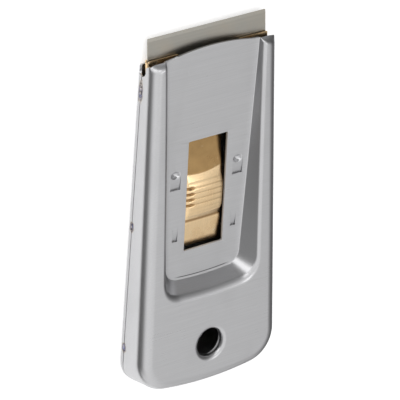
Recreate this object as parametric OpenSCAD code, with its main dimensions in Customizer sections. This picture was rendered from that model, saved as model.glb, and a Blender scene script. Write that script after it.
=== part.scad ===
// Razor blade scraper: a stamped two-shell steel handle with a sliding brass blade carrier.
// The scraper lies on its back. X runs across it, Y along it towards the blade, Z out of the front.
// The origin is on the axis of the hang hole, on the flat rear face. All lengths are in millimetres.

/* [Body] */
// Width of the body at the hang hole
width_at_hole = 45.1; // [42:0.1:50]
// Distance from each end of the blade to the side of the body at the mouth shoulders
shoulder_margin = 1.35; // [1.2:0.05:1.95]
// Thickness of the body at the hang hole
thick_at_hole = 10.6; // [9:0.1:14]
// Thickness of the body at the mouth shoulders
thick_at_mouth = 6.65; // [6.2:0.05:8]
// Distance from the hang hole's axis to the mouth shoulders
shoulder_y = 83.8; // [82.5:0.1:84.3]
// Distance from the hang hole's axis to the rounded bottom end
bottom_y = 11.9; // [9:0.1:20]
// Radius of the bottom arch, seen from the front
arch_r = 100; // [60:5:300]
// Radius of the bottom corners in plan, at the seam and the rear face
corner_r_rear = 7; // [4:0.5:9]
// Radius of the bottom corners in plan, at the front face
corner_r_front = 9.5; // [5:0.5:11]
// Radius of the rolled edge round the front face
edge_r_front = 2.8; // [1.5:0.1:3.2]
// Radius of the bent edge round the rear face
edge_r_rear = 1.2; // [0.8:0.1:1.6]
// Height of the seam between the two shells above the rear face
seam_z = 1.9; // [1.7:0.05:2.6]
// Thickness of the steel sheet
sheet = 0.6; // [0.4:0.05:0.7]

/* [Mouth] */
// Distance from the hang hole's axis to the top of the panel's arched edge
tongue_y = 85.8; // [84.6:0.1:88]
// Radius of the panel's arched edge
tongue_arc_r = 67; // [50:1:120]
// Radius of the roll at the mouth end of each shoulder
roll_r = 1.5; // [0.9:0.1:2]
// Height of the shoulders' cut edge above the rear face
mouth_open_z = 5.2; // [5:0.1:5.6]
// Width of the U notch in each side at the mouth
notch_w = 3.1; // [2:0.1:3.4]
// Length of the U notch
notch_len = 3.4; // [2:0.1:6]
// How far the rear shell's edge lies inside the shoulders
rear_edge_set_back = 0.3; // [0:0.1:2]

/* [Thumb pocket] */
// Height of the pocket's floor above the rear face
floor_z = 4.9; // [4.8:0.05:5]
// Width of the pocket's floor at the mouth
floor_w_mouth = 30.6; // [28:0.1:31]
// Width of the pocket's floor at its bottom end
floor_w_bottom = 24.4; // [24:0.1:28]
// Width of the pocket at the front face
rim_w = 31; // [31:0.1:33]
// Distance from the hang hole's axis to the floor's bottom end
floor_end_y = 18.9; // [18:0.1:22]
// How far the pocket's bottom wall runs out from the floor to the front face
bottom_wall_run = 3; // [1.5:0.1:4]
// Radius of the floor's bottom corners
floor_corner_r = 4; // [2:0.5:6]
// Radius of the rim's bottom corners
rim_corner_r = 6; // [3:0.5:8]

/* [Window] */
// Width of the window
window_w = 12.7; // [12.5:0.1:14]
// Length of the window
window_len = 32.2; // [30:0.1:34]
// Distance from the hang hole's axis to the window's lower edge
window_y = 27; // [25:0.1:28]

/* [Lanced tabs] */
// Distance between the middles of the left and right upper tabs
upper_tab_span = 20.3; // [19.4:0.1:20.6]
// Width of each upper tab
upper_tab_w = 3.2; // [2.8:0.1:3.8]
// Length of each upper tab
upper_tab_len = 5.6; // [5:0.1:7]
// Distance from the hang hole's axis to the upper tabs' free ends
upper_tab_y = 46; // [44:0.1:48]
// Distance between the middles of the left and right lower tabs
lower_tab_span = 19.2; // [18.6:0.1:20]
// Width of each lower tab
lower_tab_w = 1.6; // [1.2:0.1:2.4]
// Length of each lower tab
lower_tab_len = 4; // [3:0.1:5]
// Distance from the hang hole's axis to the lower tabs' free ends
lower_tab_y = 30.6; // [29:0.1:32]
// How far each tab's free end is pressed in
tab_drop = 0.9; // [0.4:0.05:1]
// Gap cut round each tab
tab_gap = 0.15; // [0.1:0.05:0.3]
// Radius of the round dimple in each upper tab
dimple_r = 1.25; // [0.8:0.05:1.3]
// How far each dimple reaches below the pocket's floor
dimple_depth = 2.5; // [2.3:0.05:2.6]

/* [Hang hole] */
// Radius of the hang hole
hole_r = 4; // [2.5:0.1:5]
// Depth of the drawn collar on each shell, sheet included
collar_depth = 2.1; // [1:0.1:3]
// Radius of the roll at each collar's outer edge
collar_roll_r = 0.5; // [0.2:0.05:0.6]

/* [Tack welds] */
// Width of a tack across the seam
tack_w = 1.5; // [0.8:0.1:2]
// How proud a tack stands of the side
tack_h = 0.2; // [0.1:0.05:0.4]
// Length of the long tack near the mouth
long_tack_len = 6.5; // [3:0.5:10]
// Length of the short tacks
short_tack_len = 2.6; // [1.6:0.1:5]
// Distance from the hang hole's axis to the middle of the upper tack
upper_tack_y = 76; // [70:0.5:77]
// Distance from the hang hole's axis to the middle of the middle tack
middle_tack_y = 37; // [30:0.5:50]
// Distance from the hang hole's axis to the middle of the lower tack
lower_tack_y = 1; // [0:0.5:10]

/* [Blade] */
// Width of the blade along its cutting edge
blade_w = 38.1; // [36:0.1:41]
// Height of the blade with its spine
blade_h = 19; // [17.5:0.1:19.5]
// Thickness of the blade
blade_t = 0.23; // [0.2:0.01:0.35]
// Height of the ground bevel at the cutting edge
bevel_h = 1; // [0.5:0.1:2]
// Height of the folded spine
spine_h = 5.8; // [4:0.1:6.5]
// Thickness of the sheet that the spine is folded from
spine_sheet = 0.33; // [0.2:0.01:0.35]
// How much shorter the spine is than the blade at each end
spine_end_gap = 0.4; // [0.1:0.1:1]
// Depth of the notch at each end of the blade
end_notch_d = 1.5; // [0.8:0.1:2]
// Height of the notch at each end of the blade
end_notch_h = 3; // [2:0.1:4]
// Distance from the hang hole's axis to the cutting edge
edge_y = 90.5; // [90:0.1:91]
// Height of the cutting edge above the rear face
edge_z = 1.66; // [1.6:0.01:1.8]
// Pitch of the blade, edge towards the rear face
pitch = 4.75; // [4.2:0.05:4.8]

/* [Blade carrier] */
// Thickness of the brass sheet
brass = 0.35; // [0.25:0.01:0.37]
// Clearance between the blade and the carrier
seat_clear = 0.08; // [0.05:0.01:0.09]
// How far the blade stands out of the carrier
blade_reach = 5.7; // [5:0.1:6.5]
// Width of the lip folded over each end of the blade
lip_w = 5.1; // [3:0.1:7]
// Radius of the carrier's front corners
carrier_corner_r = 2; // [1:0.1:3]
// Width of each guide arm
arm_w = 4.6; // [4.4:0.1:5]
// Travel from the scraping position out to the blade change position
travel_out = 10; // [6:0.5:10]
// Travel from the scraping position back into the handle
travel_in = 8.5; // [7.5:0.1:8.5]
// Gap left between parts that stop against each other
stop_gap = 0.2; // [0.1:0.05:0.3]

/* [Thumb leaf] */
// Width of the thumb leaf
leaf_w = 12; // [10:0.1:12.2]
// Distance from the hang hole's axis to the leaf's free end
leaf_end_y = 27.3; // [27:0.1:29]
// Height of the leaf's top face at its free end
leaf_end_z = 2.75; // [2.7:0.05:3.2]
// Height of the leaf's top face where it dips towards the rear shell
leaf_dip_z = 1.6; // [1.6:0.05:1.9]
// Height of the thumb bump's top face
bump_z = 4.95; // [4.6:0.05:5.2]
// Distance from the hang hole's axis to the middle of the thumb bump
bump_y = 41.5; // [40:0.1:43]
// Length of the level top of the thumb bump
bump_top_len = 5; // [2:0.5:6]
// Length of the slope on the bump's blade side, down to the dip
upper_slope_len = 16; // [14:0.5:17]
// Length of the steep slope on the bump's lower side
lower_slope_len = 4.6; // [3:0.1:6]
// Height of the leaf below the bump, at the foot of the lower slope
foot_z = 3.7; // [3.3:0.05:4]
// Radius of each grip ridge
ridge_r = 0.34; // [0.2:0.01:0.5]
// Distance from one grip ridge to the next
ridge_pitch = 1.5; // [1.2:0.1:2]
// Number of grip ridges
ridge_count = 5; // [3:1:6]
// Running gap between the leaf's rounded root and the carrier
root_gap = 0.06; // [0.04:0.01:0.1]

/* [Hidden] */

// How far a cut runs past the face that it opens
overrun = 0.5;
// Thickness of the slices that a hull blends between
slice = 0.02;
// How far each collar's roll would reach into the hole, so that it crosses the wall at an angle
collar_roll_bite = 0.1;
// Steps round each bottom corner, half the bottom arch, the rolled mouth end and a leaf slope
corner_steps = 7;
arch_steps = 3;
roll_steps = 6;
slope_steps = 8;
// Facets of a rolled edge, of a plan corner and of a drilled or drawn round
edge_fn = 24;
corner_fn = 48;
round_fn = 64;
quarter_turn = 90;
// Spacing of the beads in a tack and width of a bead's top, as shares of the tack's width
bead_pitch_share = 0.55;
bead_top_share = 0.6;

steel = [0.72, 0.72, 0.73];
brass_colour = [0.85, 0.68, 0.40];
blade_colour = [0.60, 0.60, 0.58];
spine_colour = [0.66, 0.67, 0.68];
tack_colour = [0.47, 0.38, 0.32];

// The body is as wide at the mouth shoulders as the blade needs
width_at_mouth = blade_w + 2 * shoulder_margin;

// Slopes of the side and of the front face along the body
side_slope = (width_at_mouth - width_at_hole) / 2 / shoulder_y;
face_slope = (thick_at_mouth - thick_at_hole) / shoulder_y;
side_stretch = sqrt(1 + side_slope * side_slope);
face_stretch = sqrt(1 + face_slope * face_slope);
side_angle = atan(side_slope);
face_angle = atan(face_slope);
function half_width(y) = width_at_hole / 2 + side_slope * y;
function face_z(y) = thick_at_hole + face_slope * y;

// A bottom corner touches the side line and the bottom arch: its middle, for a corner of radius r
arch_y = arch_r - bottom_y;
function corner_side(r) = width_at_hole / 2 - r * side_stretch;
function corner_b(r) = corner_side(r) * side_slope - arch_y;
function corner_c(r) = pow(corner_side(r), 2) + arch_y * arch_y - pow(arch_r - r, 2);
function corner_y(r) =
    (-corner_b(r) - sqrt(pow(corner_b(r), 2) - side_stretch * side_stretch * corner_c(r)))
        / (side_stretch * side_stretch);
function corner_x(r) = corner_side(r) + side_slope * corner_y(r);
function arch_start(r) = atan2(corner_y(r) - arch_y, corner_x(r));

// Right half of the body's outline in plan, set in by inset, down from end_y to the arch's middle
function right_outline(inset, r, end_y) = concat(
    [[half_width(end_y) - inset * side_stretch, end_y]],
    [for (i = [0 : corner_steps])
        let (a = -side_angle + (arch_start(r) + side_angle) * i / corner_steps)
        [corner_x(r) + (r - inset) * cos(a), corner_y(r) + (r - inset) * sin(a)]],
    [for (i = [1 : arch_steps])
        let (a = arch_start(r) - (quarter_turn + arch_start(r)) * i / arch_steps)
        [(arch_r - inset) * cos(a), arch_y + (arch_r - inset) * sin(a)]]);
function mirrored(points) =
    [for (i = [len(points) - 2 : -1 : 0]) [-points[i].x, points[i].y]];
function plan_outline(inset, r, end_y) =
    let (right = right_outline(inset, r, end_y))
    concat(right, mirrored(right));

// Side view of the front shell, set in by inset: front face, rolled mouth end, shoulders' end plane
roll_y = shoulder_y - roll_r;
roll_z = face_z(roll_y) - roll_r * face_stretch;
profile_start_y = -bottom_y - overrun;
function roll_profile(inset, base_z) = concat(
    [[profile_start_y, base_z],
     [profile_start_y, face_z(profile_start_y) - inset * face_stretch]],
    [for (i = [0 : roll_steps])
        let (a = (quarter_turn + face_angle) * (1 - i / roll_steps))
        [roll_y + (roll_r - inset) * cos(a), roll_z + (roll_r - inset) * sin(a)]],
    [[shoulder_y - inset, base_z]]);

// What opens the mouth below the shoulders' cut edge
function mouth_opening(base_z) = [
    [profile_start_y, base_z], [profile_start_y, mouth_open_z],
    [tongue_y + 2 * overrun, mouth_open_z], [tongue_y + 2 * overrun, base_z]];

// A side view outline, drawn as [y, z], becomes a prism across the width
module across(width) {
    rotate([quarter_turn, 0, quarter_turn])
        linear_extrude(width, center = true)
            children();
}

module both_sides() {
    children();
    mirror([1, 0, 0])
        children();
}

// Body under its front face, with the edge rolled round it, set in by inset
module front_form(inset, base_z) {
    hull() {
        for (p = plan_outline(edge_r_front, corner_r_front, tongue_y + overrun))
            translate([p.x, p.y, face_z(p.y) - edge_r_front * face_stretch])
                sphere(edge_r_front - inset, $fn = edge_fn);
        translate([0, 0, base_z])
            linear_extrude(slice)
                polygon(plan_outline(inset, corner_r_rear, tongue_y + overrun));
    }
}

// Outline of the pocket in plan: w across at the mouth end, w_end across at the bottom end
function pocket_outline(w, w_end, end_y, r) =
    let (right = concat(
        [[w / 2, tongue_y + 2 * overrun]],
        [for (i = [0 : corner_steps])
            let (a = -quarter_turn * i / corner_steps)
            [w_end / 2 - r + r * cos(a), end_y + r + r * sin(a)]]))
    concat(right, [for (i = [len(right) - 1 : -1 : 0]) [-right[i].x, right[i].y]]);

// The drafted pocket: grow is 0 for its outer skin and one sheet for its inner skin
module pocket_form(grow) {
    hull() {
        translate([0, 0, floor_z - grow])
            linear_extrude(slice)
                polygon(pocket_outline(floor_w_mouth + 2 * grow, floor_w_bottom + 2 * grow,
                                       floor_end_y - grow, floor_corner_r + grow));
        translate([0, 0, face_z(0) + overrun / 2])
            rotate([face_angle, 0, 0])
                linear_extrude(slice)
                    polygon(pocket_outline(rim_w + 2 * grow, rim_w + 2 * grow,
                                           floor_end_y - bottom_wall_run - grow,
                                           rim_corner_r + grow));
    }
}

// The panel's arched lip, which runs on past the shoulders
module panel_tongue() {
    lip_half = floor_w_mouth / 2;
    arc_y = tongue_y - tongue_arc_r;
    translate([0, 0, floor_z - sheet])
        linear_extrude(sheet)
            intersection() {
                translate([-lip_half, shoulder_y - 2 * roll_r])
                    square([2 * lip_half, tongue_y - shoulder_y + 2 * roll_r]);
                translate([0, arc_y])
                    circle(tongue_arc_r, $fn = 4 * round_fn);
            }
}

// Half notches that leave the carrier's sides open to view at the mouth
module side_notches() {
    r = notch_w / 2;
    notch_y = shoulder_y - notch_len + r;
    both_sides()
        translate([blade_w / 2, 0, 0])
            rotate([quarter_turn, 0, quarter_turn])
                linear_extrude(width_at_hole / 2)
                    union() {
                        translate([notch_y, seam_z])
                            circle(r, $fn = round_fn);
                        translate([notch_y, seam_z - r])
                            square([notch_len + tongue_y - shoulder_y, notch_w]);
                    }
}

// A tab hinged on the panel at its blade end and pressed in at its free end
module lanced_tab(span, w, len, free_y) {
    both_sides()
        translate([span / 2, free_y + len, floor_z])
            rotate([asin(tab_drop / len), 0, 0])
                translate([-w / 2, -len, -sheet])
                    cube([w, len, sheet]);
}

// The slot sheared in the panel round such a tab
module tab_slot(span, w, len, free_y) {
    both_sides()
        translate([span / 2 - w / 2 - tab_gap, free_y - tab_gap, floor_z - sheet - overrun])
            cube([w + 2 * tab_gap, len + tab_gap, sheet + 2 * overrun]);
}

// Round dimple in each upper tab: a pressed dome that runs in the slot of a guide arm
dimple_y = upper_tab_y + upper_tab_len - dimple_r - tab_gap;
module dimples(r) {
    both_sides()
        translate([upper_tab_span / 2, dimple_y, floor_z - dimple_depth + dimple_r])
            sphere(r, $fn = round_fn);
}
module dimple_wells() {
    both_sides()
        translate([upper_tab_span / 2, dimple_y, floor_z - dimple_depth + dimple_r])
            cylinder(dimple_depth, r = dimple_r - sheet / 2, $fn = round_fn);
}
module dimple_walls() {
    both_sides()
        translate([upper_tab_span / 2, dimple_y, floor_z - dimple_depth + dimple_r])
            cylinder(dimple_depth - dimple_r - sheet, r = dimple_r, $fn = round_fn);
}

// Bell mouth of a drawn collar, as a ring to cut away: it opens along +Z from z = 0
module bell_mouth() {
    roll_mid_r = hole_r + collar_roll_r - collar_roll_bite;
    rotate_extrude($fn = round_fn)
        difference() {
            translate([hole_r - overrun, -collar_roll_r])
                square([overrun + roll_mid_r - hole_r, collar_roll_r + overrun]);
            translate([roll_mid_r, -collar_roll_r])
                circle(collar_roll_r, $fn = round_fn);
        }
}

module collar_wall(height) {
    cylinder(height, r = hole_r + sheet, $fn = round_fn);
}

module hole_cut() {
    translate([0, 0, -overrun])
        cylinder(thick_at_hole + 3 * overrun, r = hole_r, $fn = round_fn);
}

module front_shell() {
    color(steel)
        difference() {
            union() {
                difference() {
                    intersection() {
                        front_form(0, seam_z);
                        across(2 * width_at_hole)
                            polygon(roll_profile(0, seam_z));
                    }
                    difference() {
                        intersection() {
                            front_form(sheet, seam_z - overrun);
                            across(2 * width_at_hole)
                                union() {
                                    polygon(roll_profile(sheet, seam_z - overrun));
                                    polygon(mouth_opening(seam_z - overrun));
                                }
                        }
                        pocket_form(sheet);
                    }
                    pocket_form(0);
                    tab_slot(upper_tab_span, upper_tab_w, upper_tab_len, upper_tab_y);
                    tab_slot(lower_tab_span, lower_tab_w, lower_tab_len, lower_tab_y);
                }
                panel_tongue();
                translate([0, 0, face_z(0) - collar_depth])
                    collar_wall(collar_depth - sheet);
                lanced_tab(upper_tab_span, upper_tab_w, upper_tab_len, upper_tab_y);
                lanced_tab(lower_tab_span, lower_tab_w, lower_tab_len, lower_tab_y);
                dimples(dimple_r);
                dimple_walls();
            }
            dimples(dimple_r - sheet / 2);
            dimple_wells();
            translate([-window_w / 2, window_y, floor_z - sheet - overrun])
                cube([window_w, window_len, sheet + 2 * overrun]);
            side_notches();
            hole_cut();
            translate([0, 0, face_z(0)])
                rotate([face_angle, 0, 0])
                    bell_mouth();
        }
}

// Shallow tray under the seam, set in by inset
module rear_form(inset, top_z) {
    hull() {
        for (p = plan_outline(edge_r_rear, corner_r_rear, tongue_y + overrun))
            translate([p.x, p.y, edge_r_rear])
                sphere(edge_r_rear - inset, $fn = edge_fn);
        translate([0, 0, top_z - slice])
            linear_extrude(slice)
                polygon(plan_outline(inset, corner_r_rear, tongue_y + overrun));
    }
}

module rear_shell() {
    rear_edge_y = shoulder_y - rear_edge_set_back;
    color(steel)
        difference() {
            union() {
                difference() {
                    rear_form(0, seam_z);
                    rear_form(sheet, seam_z + overrun);
                    translate([-width_at_hole, -2 * bottom_y, seam_z])
                        cube([2 * width_at_hole, tongue_y + 4 * bottom_y, seam_z]);
                }
                collar_wall(collar_depth);
            }
            translate([-width_at_hole / 2, rear_edge_y, -overrun])
                cube([width_at_hole, tongue_y + 4 * overrun - rear_edge_y, seam_z + 2 * overrun]);
            side_notches();
            hole_cut();
            mirror([0, 0, 1])
                bell_mouth();
        }
}

// A tack is a row of overlapping flat beads along the seam, fused to the side face
module tack(mid_y, len) {
    gaps = max(1, round((len - tack_w) / (tack_w * bead_pitch_share)));
    step = (len - tack_w) / gaps;
    translate([half_width(mid_y), mid_y, seam_z])
        rotate([0, 0, -side_angle])
            for (i = [0 : gaps])
                translate([0, (i - gaps / 2) * step, 0])
                    rotate([0, quarter_turn, 0])
                        cylinder(tack_h, r1 = tack_w / 2, r2 = tack_w * bead_top_share / 2,
                                 $fn = round_fn);
}

module right_tacks() {
    color(tack_colour) {
        tack(upper_tack_y, long_tack_len);
        tack(middle_tack_y, short_tack_len);
        tack(lower_tack_y, short_tack_len);
    }
}

module left_seam_welds() {
    mirror([1, 0, 0])
        right_tacks();
}

module right_seam_welds() {
    right_tacks();
}

// The blade's own frame: the cutting edge on X, the blade running down along -Y
module blade_frame() {
    translate([0, edge_y, edge_z])
        rotate([-pitch, 0, 0])
            children();
}

module blade() {
    notch_y = -blade_h + spine_h + seat_clear;
    color(blade_colour)
        blade_frame()
            difference() {
                across(blade_w)
                    polygon([[0, 0], [-bevel_h, blade_t / 2],
                             [spine_sheet - blade_h, blade_t / 2],
                             [spine_sheet - blade_h, -blade_t / 2], [-bevel_h, -blade_t / 2]]);
                both_sides()
                    translate([blade_w / 2 - end_notch_d, notch_y, -blade_t])
                        cube([end_notch_d + overrun, end_notch_h, 2 * blade_t]);
            }
}

// Folded sheet over the blade's back, with a round fold
spine_half_t = blade_t / 2 + spine_sheet;
module blade_spine() {
    color(spine_colour)
        blade_frame()
            across(blade_w - 2 * spine_end_gap)
                difference() {
                    union() {
                        translate([spine_half_t - blade_h, 0])
                            circle(spine_half_t, $fn = corner_fn);
                        translate([spine_half_t - blade_h, -spine_half_t])
                            square([spine_h - spine_half_t, 2 * spine_half_t]);
                    }
                    translate([spine_sheet - blade_h, -blade_t / 2])
                        square([spine_h, blade_t]);
                }
}

// The carrier's plate, sides and lips follow the blade, and its arms lie level under the panel
seat_half_t = spine_half_t + seat_clear;
carrier_half_w = blade_w / 2 + seat_clear + brass;
carrier_rear = -blade_h - seat_clear - brass;
plate_rear_y = edge_y + carrier_rear * cos(pitch) - (seat_half_t + brass) * sin(pitch);
plate_top_z = edge_z - carrier_rear * sin(pitch) - seat_half_t * cos(pitch);
arm_slot_w = 2 * dimple_r + 2 * stop_gap;
arm_foot_y = lower_tab_y - tab_gap - travel_out - stop_gap;
arm_foot_z = floor_z - sheet - stop_gap;

module carrier_plan() {
    intersection() {
        translate([-carrier_half_w, carrier_rear])
            square([2 * carrier_half_w, -blade_reach - carrier_rear]);
        union() {
            translate([-carrier_half_w, carrier_rear])
                square([2 * carrier_half_w, -blade_reach - carrier_corner_r - carrier_rear]);
            translate([carrier_corner_r - carrier_half_w, carrier_rear])
                square([2 * (carrier_half_w - carrier_corner_r), -blade_reach - carrier_rear]);
            both_corners()
                circle(carrier_corner_r, $fn = corner_fn);
        }
    }
}
module both_corners() {
    for (side = [-1, 1])
        translate([side * (carrier_half_w - carrier_corner_r), -blade_reach - carrier_corner_r])
            children();
}

module saddle() {
    blade_frame()
        intersection() {
            translate([0, 0, -seat_half_t - brass])
                linear_extrude(2 * (seat_half_t + brass))
                    carrier_plan();
            union() {
                translate([-carrier_half_w, carrier_rear, -seat_half_t - brass])
                    cube([2 * carrier_half_w, -carrier_rear, brass]);
                both_sides() {
                    translate([carrier_half_w - brass, carrier_rear, -seat_half_t - brass / 2])
                        cube([brass, -carrier_rear, 2 * seat_half_t + brass]);
                    translate([carrier_half_w - lip_w, carrier_rear, seat_half_t])
                        cube([lip_w, -carrier_rear, brass]);
                    translate([leaf_w / 2 + stop_gap, carrier_rear, -seat_half_t - brass / 2])
                        cube([carrier_half_w - leaf_w / 2 - stop_gap, brass, 2 * seat_half_t]);
                }
            }
        }
}

// One guide arm: its slot runs on the panel's dimple, and its turned-up foot stops at the lower tab
module guide_arm() {
    arm_x = upper_tab_span / 2;
    slot_low = dimple_y - travel_out - dimple_r - stop_gap;
    slot_high = dimple_y + travel_in + dimple_r + stop_gap;
    difference() {
        union() {
            translate([arm_x - arm_w / 2, arm_foot_y - brass, plate_top_z - brass])
                cube([arm_w, plate_rear_y + brass - arm_foot_y + brass, brass]);
            translate([arm_x - arm_w / 2, arm_foot_y - brass, plate_top_z - brass])
                cube([arm_w, brass, arm_foot_z - plate_top_z + brass]);
        }
        translate([arm_x - arm_slot_w / 2, slot_low, plate_top_z - brass - overrun])
            cube([arm_slot_w, slot_high - slot_low, brass + 2 * overrun]);
    }
}

module blade_carrier() {
    color(brass_colour) {
        saddle();
        both_sides()
            guide_arm();
    }
}

// Top face of the thumb leaf along the body: level root, dip, thumb bump, foot and free end
leaf_root_y = plate_rear_y - root_gap - brass / 2;
leaf_axis_z = plate_top_z - brass / 2;
bump_high_y = bump_y + bump_top_len / 2;
bump_low_y = bump_y - bump_top_len / 2;
dip_y = bump_high_y + upper_slope_len;
foot_y = bump_low_y - lower_slope_len;
function eased(t) = (1 - cos(2 * quarter_turn * t)) / 2;
function leaf_slope(y_from, z_from, y_to, z_to) =
    [for (i = [1 : slope_steps])
        let (t = i / slope_steps)
        [y_from + (y_to - y_from) * t, z_from + (z_to - z_from) * eased(t)]];
function leaf_top() = concat(
    [[leaf_root_y, plate_top_z]],
    leaf_slope(leaf_root_y, plate_top_z, dip_y, leaf_dip_z),
    leaf_slope(dip_y, leaf_dip_z, bump_high_y, bump_z),
    [[bump_low_y, bump_z]],
    leaf_slope(bump_low_y, bump_z, foot_y, foot_z),
    [[leaf_end_y, leaf_end_z]]);
function lowered(points, drop) =
    [for (i = [len(points) - 1 : -1 : 0]) [points[i].x, points[i].y - drop]];

module thumb_leaf() {
    color(brass_colour) {
        across(leaf_w)
            polygon(concat(leaf_top(), lowered(leaf_top(), brass)));
        translate([0, leaf_root_y, leaf_axis_z])
            rotate([0, quarter_turn, 0])
                cylinder(leaf_w, r = brass / 2, center = true, $fn = corner_fn);
        for (i = [0 : ridge_count - 1])
            translate([0, bump_y + (i - (ridge_count - 1) / 2) * ridge_pitch, bump_z])
                rotate([0, quarter_turn, 0])
                    cylinder(leaf_w, r = ridge_r, center = true, $fn = corner_fn);
    }
}

front_shell();
rear_shell();
left_seam_welds();
right_seam_welds();
blade_carrier();
thumb_leaf();
blade();
blade_spine();
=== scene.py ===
"""A razor blade scraper: two stamped steel shells, a sliding brass blade carrier and a steel blade."""
import math

import bmesh
import bpy
from mathutils import Matrix, Vector
from mathutils.geometry import delaunay_2d_cdt


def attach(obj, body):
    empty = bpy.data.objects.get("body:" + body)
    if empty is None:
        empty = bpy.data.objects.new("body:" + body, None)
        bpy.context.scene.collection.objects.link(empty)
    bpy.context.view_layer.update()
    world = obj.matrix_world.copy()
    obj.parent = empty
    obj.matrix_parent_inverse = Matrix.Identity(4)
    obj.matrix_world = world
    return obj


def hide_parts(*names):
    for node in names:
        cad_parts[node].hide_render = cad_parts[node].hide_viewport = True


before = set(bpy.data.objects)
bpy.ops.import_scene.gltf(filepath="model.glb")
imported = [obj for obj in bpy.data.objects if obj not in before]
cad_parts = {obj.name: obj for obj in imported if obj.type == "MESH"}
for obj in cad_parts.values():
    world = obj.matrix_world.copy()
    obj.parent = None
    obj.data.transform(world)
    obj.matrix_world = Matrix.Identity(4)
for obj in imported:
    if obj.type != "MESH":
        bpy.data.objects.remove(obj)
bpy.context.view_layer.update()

# Lengths below are in millimetres. MM turns them into Blender's metres.
MM = 0.001

# Body: the axis of the hang hole is at y = 0 and the flat rear face at z = 0
WIDTH_AT_HOLE = 45.1
WIDTH_AT_MOUTH = 40.8
THICK_AT_HOLE = 10.6
THICK_AT_MOUTH = 6.65
SHOULDER_Y = 83.8
BOTTOM_Y = 11.9
ARCH_R = 100.0
CORNER_R_REAR = 7.0
CORNER_R_FRONT = 9.5
EDGE_R_FRONT = 3.5
EDGE_R_MOUTH = 3.05
EDGE_R_REAR = 1.2
SEAM_Z = 1.9
SEAM_GAP = 0.2
SHEET = 0.6

# Mouth
TONGUE_Y = 85.8
TONGUE_ARC_R = 67.0
ROLL_R = 1.7
NOSE_LOW_Z = 3.6
NOSE_HIGH_Z = 4.3
NOSE_BACK = 0.5
NOSE_IN_X = 15.2
NOSE_OUT_X = 19.2
NOSE_DROP_IN = 0.85
NOSE_DROP_OUT = 1.12
NOSE_LATE = 0.5
NOSE_SINK_POWER = 1.8
NOSE_MARGIN = 0.1
NOSE_LINE = [(12.6, 84.6), (14.0, 84.46), (15.3, 84.4), (17.0, 84.34), (18.0, 84.27), (19.0, 84.17),
             (19.6, 84.02), (20.2, 83.82), (20.5, 83.8)]
NOTCH_W = 3.1
NOTCH_LEN = 3.4
REAR_EDGE_Y = 83.1
REAR_END_R = 0.9

# Thumb pocket
FLOOR_Z = 4.9
FLOOR_W_MOUTH = 30.6
FLOOR_W_BOTTOM = 24.4
RIM_W = 31.0
FLOOR_END_Y = 18.9
BOTTOM_WALL_RUN = 3.0
BOTTOM_BOW = 0.09
FLOOR_CORNER_R = 4.0
RIM_CORNER_R = 6.0
RIM_FILLET_R = 1.35
BOTTOM_FILLET_R = 3.0
FACE_STRIP = 0.08
FLOOR_FILLET_R = 0.3
DISH_W = 1.35
DISH_RISE = 0.06
# Length along the body over which the side wall turns to its own line, starting at the mouth
SIDE_TURN_RUN = 20.0

# Window and lanced tabs
WINDOW_W = 12.7
WINDOW_LEN = 32.2
WINDOW_Y = 27.0
WINDOW_CORNER_R = 0.35
UPPER_TAB = {"span": 20.3, "w": 3.2, "len": 5.6, "y": 46.0, "drop": 0.5, "dimple": 1.0}
LOWER_TAB = {"span": 19.2, "w": 1.6, "len": 4.0, "y": 30.6, "drop": 0.5, "dimple": 0.0}
TAB_GAP = 0.07
SLIT_END = 0.02
DIMPLE_W = 1.5
DIMPLE_LEN = 1.1
DIMPLE_BACK = 0.1
DIMPLE_POWER = 1.25
TAB_BEND_POWER = 2.6
TAB_CELL = 0.13
# Least and most x and y, and least z, of the zone round the tabs
TAB_ZONE = (8, 12.2, 28, 53, 3.5)

# Hang hole
HOLE_R = 4.0
COLLAR_ROLL_R = 1.3
COLLAR_DEPTH = 2.1
HOLE_SEGMENTS = 64

# Slopes of the sides and of the front face along the body
SIDE_SLOPE = (WIDTH_AT_MOUTH - WIDTH_AT_HOLE) / 2 / SHOULDER_Y
FACE_SLOPE = (THICK_AT_MOUTH - THICK_AT_HOLE) / SHOULDER_Y
SIDE_STRETCH = math.hypot(1, SIDE_SLOPE)
ARCH_MID_Y = ARCH_R - BOTTOM_Y
ROLL_Y = SHOULDER_Y - ROLL_R


def unit(t):
    """t, held between 0 and 1."""
    return min(max(t, 0), 1)


def eased(t):
    """Runs smoothly from 0 to 1 while t does."""
    return (1 - math.cos(math.pi * unit(t))) / 2


def along_line(points, x):
    """Height of the line through the points at x."""
    for (x0, z0), (x1, z1) in zip(points, points[1:]):
        if x <= x1:
            return z0 + (z1 - z0) * (x - x0) / (x1 - x0)
    return points[-1][1]


def half_width(y):
    """Half the body's width at y."""
    return WIDTH_AT_HOLE / 2 + SIDE_SLOPE * y


def face_z(y):
    """Height of the front face at y."""
    return THICK_AT_HOLE + FACE_SLOPE * y


def edge_r(y):
    """Radius of the rounded edge between the side and the face, tighter towards the mouth."""
    return EDGE_R_FRONT + (EDGE_R_MOUTH - EDGE_R_FRONT) * unit(y / SHOULDER_Y)


def steps(low, high, count):
    """count + 1 even values from low to high."""
    return [low + (high - low) * i / count for i in range(count + 1)]


def mirrored(points):
    """The points, and then their mirror images in reverse order. The last point lies on x = 0."""
    return points + [Vector((-p.x, *p[1:])) for p in reversed(points[:-1])]


# Plan outline of the body

def corner_middle(r):
    """Middle of a bottom corner of radius r, which touches the side line and the bottom arch."""
    side = WIDTH_AT_HOLE / 2 - r * SIDE_STRETCH
    a = 1 + SIDE_SLOPE ** 2
    b = side * SIDE_SLOPE - ARCH_MID_Y
    c = side ** 2 + ARCH_MID_Y ** 2 - (ARCH_R - r) ** 2
    y = (-b - math.sqrt(b * b - a * c)) / a
    return Vector((side + SIDE_SLOPE * y, y))


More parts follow.
